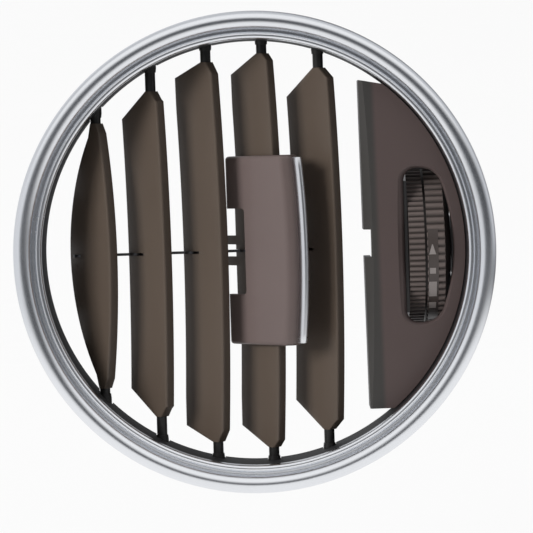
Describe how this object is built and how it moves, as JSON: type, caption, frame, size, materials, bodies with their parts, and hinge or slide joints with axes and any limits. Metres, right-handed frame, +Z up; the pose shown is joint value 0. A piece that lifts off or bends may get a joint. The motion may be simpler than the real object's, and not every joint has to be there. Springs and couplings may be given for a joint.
{
  "type": "dashboard air vent",
  "caption": "Round dashboard air vent insert with a bright ring, linked turning vanes, a sliding knob and a ribbed thumbwheel in a fixed side panel.",
  "frame": {"origin": "on the barrel's axis, in the plane of the seat behind the ring", "axes": "-Y faces the cabin, +Y goes into the dashboard along the barrel, +Z is up, +X is to the right seen from the cabin"},
  "size_m": [0.096, 0.0371, 0.096],
  "materials": {
    "satin_chrome": "satin",
    "bright_trim": "satin",
    "dark_plastic": "moulded",
    "bush_plastic": "moulded",
    "vane_plastic": "soft matt paint",
    "panel_plastic": "soft matt paint",
    "knob_plastic": "soft matt paint",
    "wheel_plastic": "moulded",
    "mark_plastic": "moulded",
    "pad_rubber": "matt",
    "strip_steel": "dark stamped",
    "plain_steel": "bright"
  },
  "bodies": {
    "housing": {"bezel_ring": "satin_chrome", "barrel": "dark_plastic", "upper_bushes": "bush_plastic", "lower_bushes": "bush_plastic", "wheel_panel": "panel_plastic", "wheel_bracket": "dark_plastic", "wheel_axle": "plain_steel", "spring_washer": "plain_steel", "panel_screws": "plain_steel"},
    "vane_1": {"vane_1": "vane_plastic"},
    "vane_2": {"vane_2": "vane_plastic"},
    "vane_3": {"vane_3": "vane_plastic"},
    "vane_4": {"vane_4": "vane_plastic"},
    "vane_5": {"vane_5": "vane_plastic"},
    "link": {"link_strip": "strip_steel"},
    "knob": {"knob_grip": "knob_plastic", "knob_fin": "bright_trim", "knob_pad": "pad_rubber"},
    "wheel": {"thumbwheel": "wheel_plastic", "mark_strip": "mark_plastic"}
  },
  "joints": [
    {"name": "vane_4_turn", "type": "hinge", "parent": "housing", "child": "vane_4", "pos_m": [0.0026, 0.004, 0], "axis": [0, 0, 1], "range_deg": [-73, 0]},
    {"name": "vane_1_turn", "type": "hinge", "parent": "housing", "child": "vane_1", "pos_m": [-0.0313, 0.004, 0], "axis": [0, 0, 1], "range_deg": [-73, 0]},
    {"name": "vane_2_turn", "type": "hinge", "parent": "housing", "child": "vane_2", "pos_m": [-0.02, 0.004, 0], "axis": [0, 0, 1], "range_deg": [-73, 0]},
    {"name": "vane_3_turn", "type": "hinge", "parent": "housing", "child": "vane_3", "pos_m": [-0.0087, 0.004, 0], "axis": [0, 0, 1], "range_deg": [-73, 0]},
    {"name": "vane_5_turn", "type": "hinge", "parent": "housing", "child": "vane_5", "pos_m": [0.0139, 0.004, 0], "axis": [0, 0, 1], "range_deg": [-73, 0]},
    {"name": "link_turn", "type": "hinge", "parent": "vane_4", "child": "link", "pos_m": [-0.00178, 0.00838, 0], "axis": [0, 0, 1], "range_deg": [0, 73]},
    {"name": "knob_slide", "type": "slide", "parent": "vane_4", "child": "knob", "axis": [0, 0, 1], "range_m": [-0.0055, 0.0055]},
    {"name": "wheel_turn", "type": "hinge", "parent": "housing", "child": "wheel", "pos_m": [0.035, 0.0161, 0], "axis": [1, 0, 0], "range_deg": [-42, 42]}
  ],
  "couplings": [
    {"joint": "vane_1_turn", "follows": "vane_4_turn", "ratio": 1},
    {"joint": "vane_2_turn", "follows": "vane_4_turn", "ratio": 1},
    {"joint": "vane_3_turn", "follows": "vane_4_turn", "ratio": 1},
    {"joint": "vane_5_turn", "follows": "vane_4_turn", "ratio": 1},
    {"joint": "link_turn", "follows": "vane_4_turn", "ratio": -1}
  ]
}
